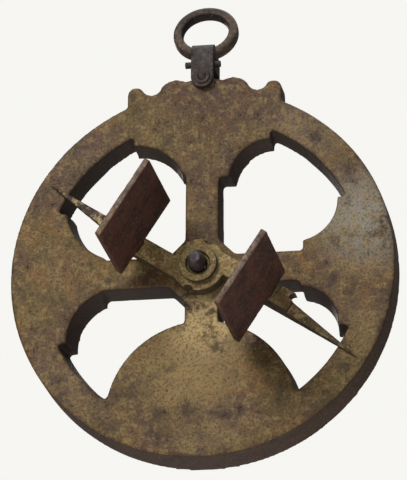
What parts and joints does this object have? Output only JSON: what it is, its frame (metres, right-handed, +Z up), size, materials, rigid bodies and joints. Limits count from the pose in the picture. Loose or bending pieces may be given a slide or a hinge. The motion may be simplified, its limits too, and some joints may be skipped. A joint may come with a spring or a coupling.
{
  "type": "mariner's astrolabe",
  "caption": "Heavy open bronze ring with spokes and a ballast foot, hung from a shackle and thumb ring, with a turning rule that carries two sight vanes.",
  "frame": {"origin": "middle of the thumb ring's hole, where the instrument is held", "axes": "+Z up as the instrument hangs, -Y out of the front face towards the observer of the dial, +X to the right seen from the front"},
  "size_m": [0.18, 0.0842, 0.2254],
  "materials": {
    "limb_bronze": "brown and olive patina, pitted",
    "rule_bronze": "olive patina, rubbed",
    "vane_bronze": "dark brown patina",
    "ring_bronze": "dark patina, edges rubbed",
    "shackle_iron": "dark forged",
    "pin_iron": "dark forged"
  },
  "bodies": {
    "suspension_ring": {"thumb_ring": "ring_bronze"},
    "shackle": {"shackle": "shackle_iron", "shackle_rivet": "shackle_iron", "stay_pin": "shackle_iron", "front_rove": "shackle_iron", "back_rove": "shackle_iron"},
    "limb": {"limb": "limb_bronze", "pivot_pin": "pin_iron", "front_collar": "rule_bronze", "cross_pin": "pin_iron", "back_washer": "rule_bronze"},
    "alidade": {"rule": "rule_bronze", "upper_vane": "vane_bronze", "lower_vane": "vane_bronze"}
  },
  "joints": [
    {"name": "ring_swing", "type": "hinge", "parent": "suspension_ring", "child": "shackle", "pos_m": [0, -0.0045, -0.01236], "axis": [1, 0, 0], "range_deg": [-105, 60]},
    {"name": "shackle_swing", "type": "hinge", "parent": "shackle", "child": "limb", "pos_m": [0, -0.0045, -0.02512], "axis": [0, 1, 0], "range_deg": [-30, 30]},
    {"name": "alidade_turn", "type": "hinge", "parent": "limb", "child": "alidade", "pos_m": [0, -0.0074, -0.12022], "axis": [0, 1, 0], "continuous": true}
  ]
}
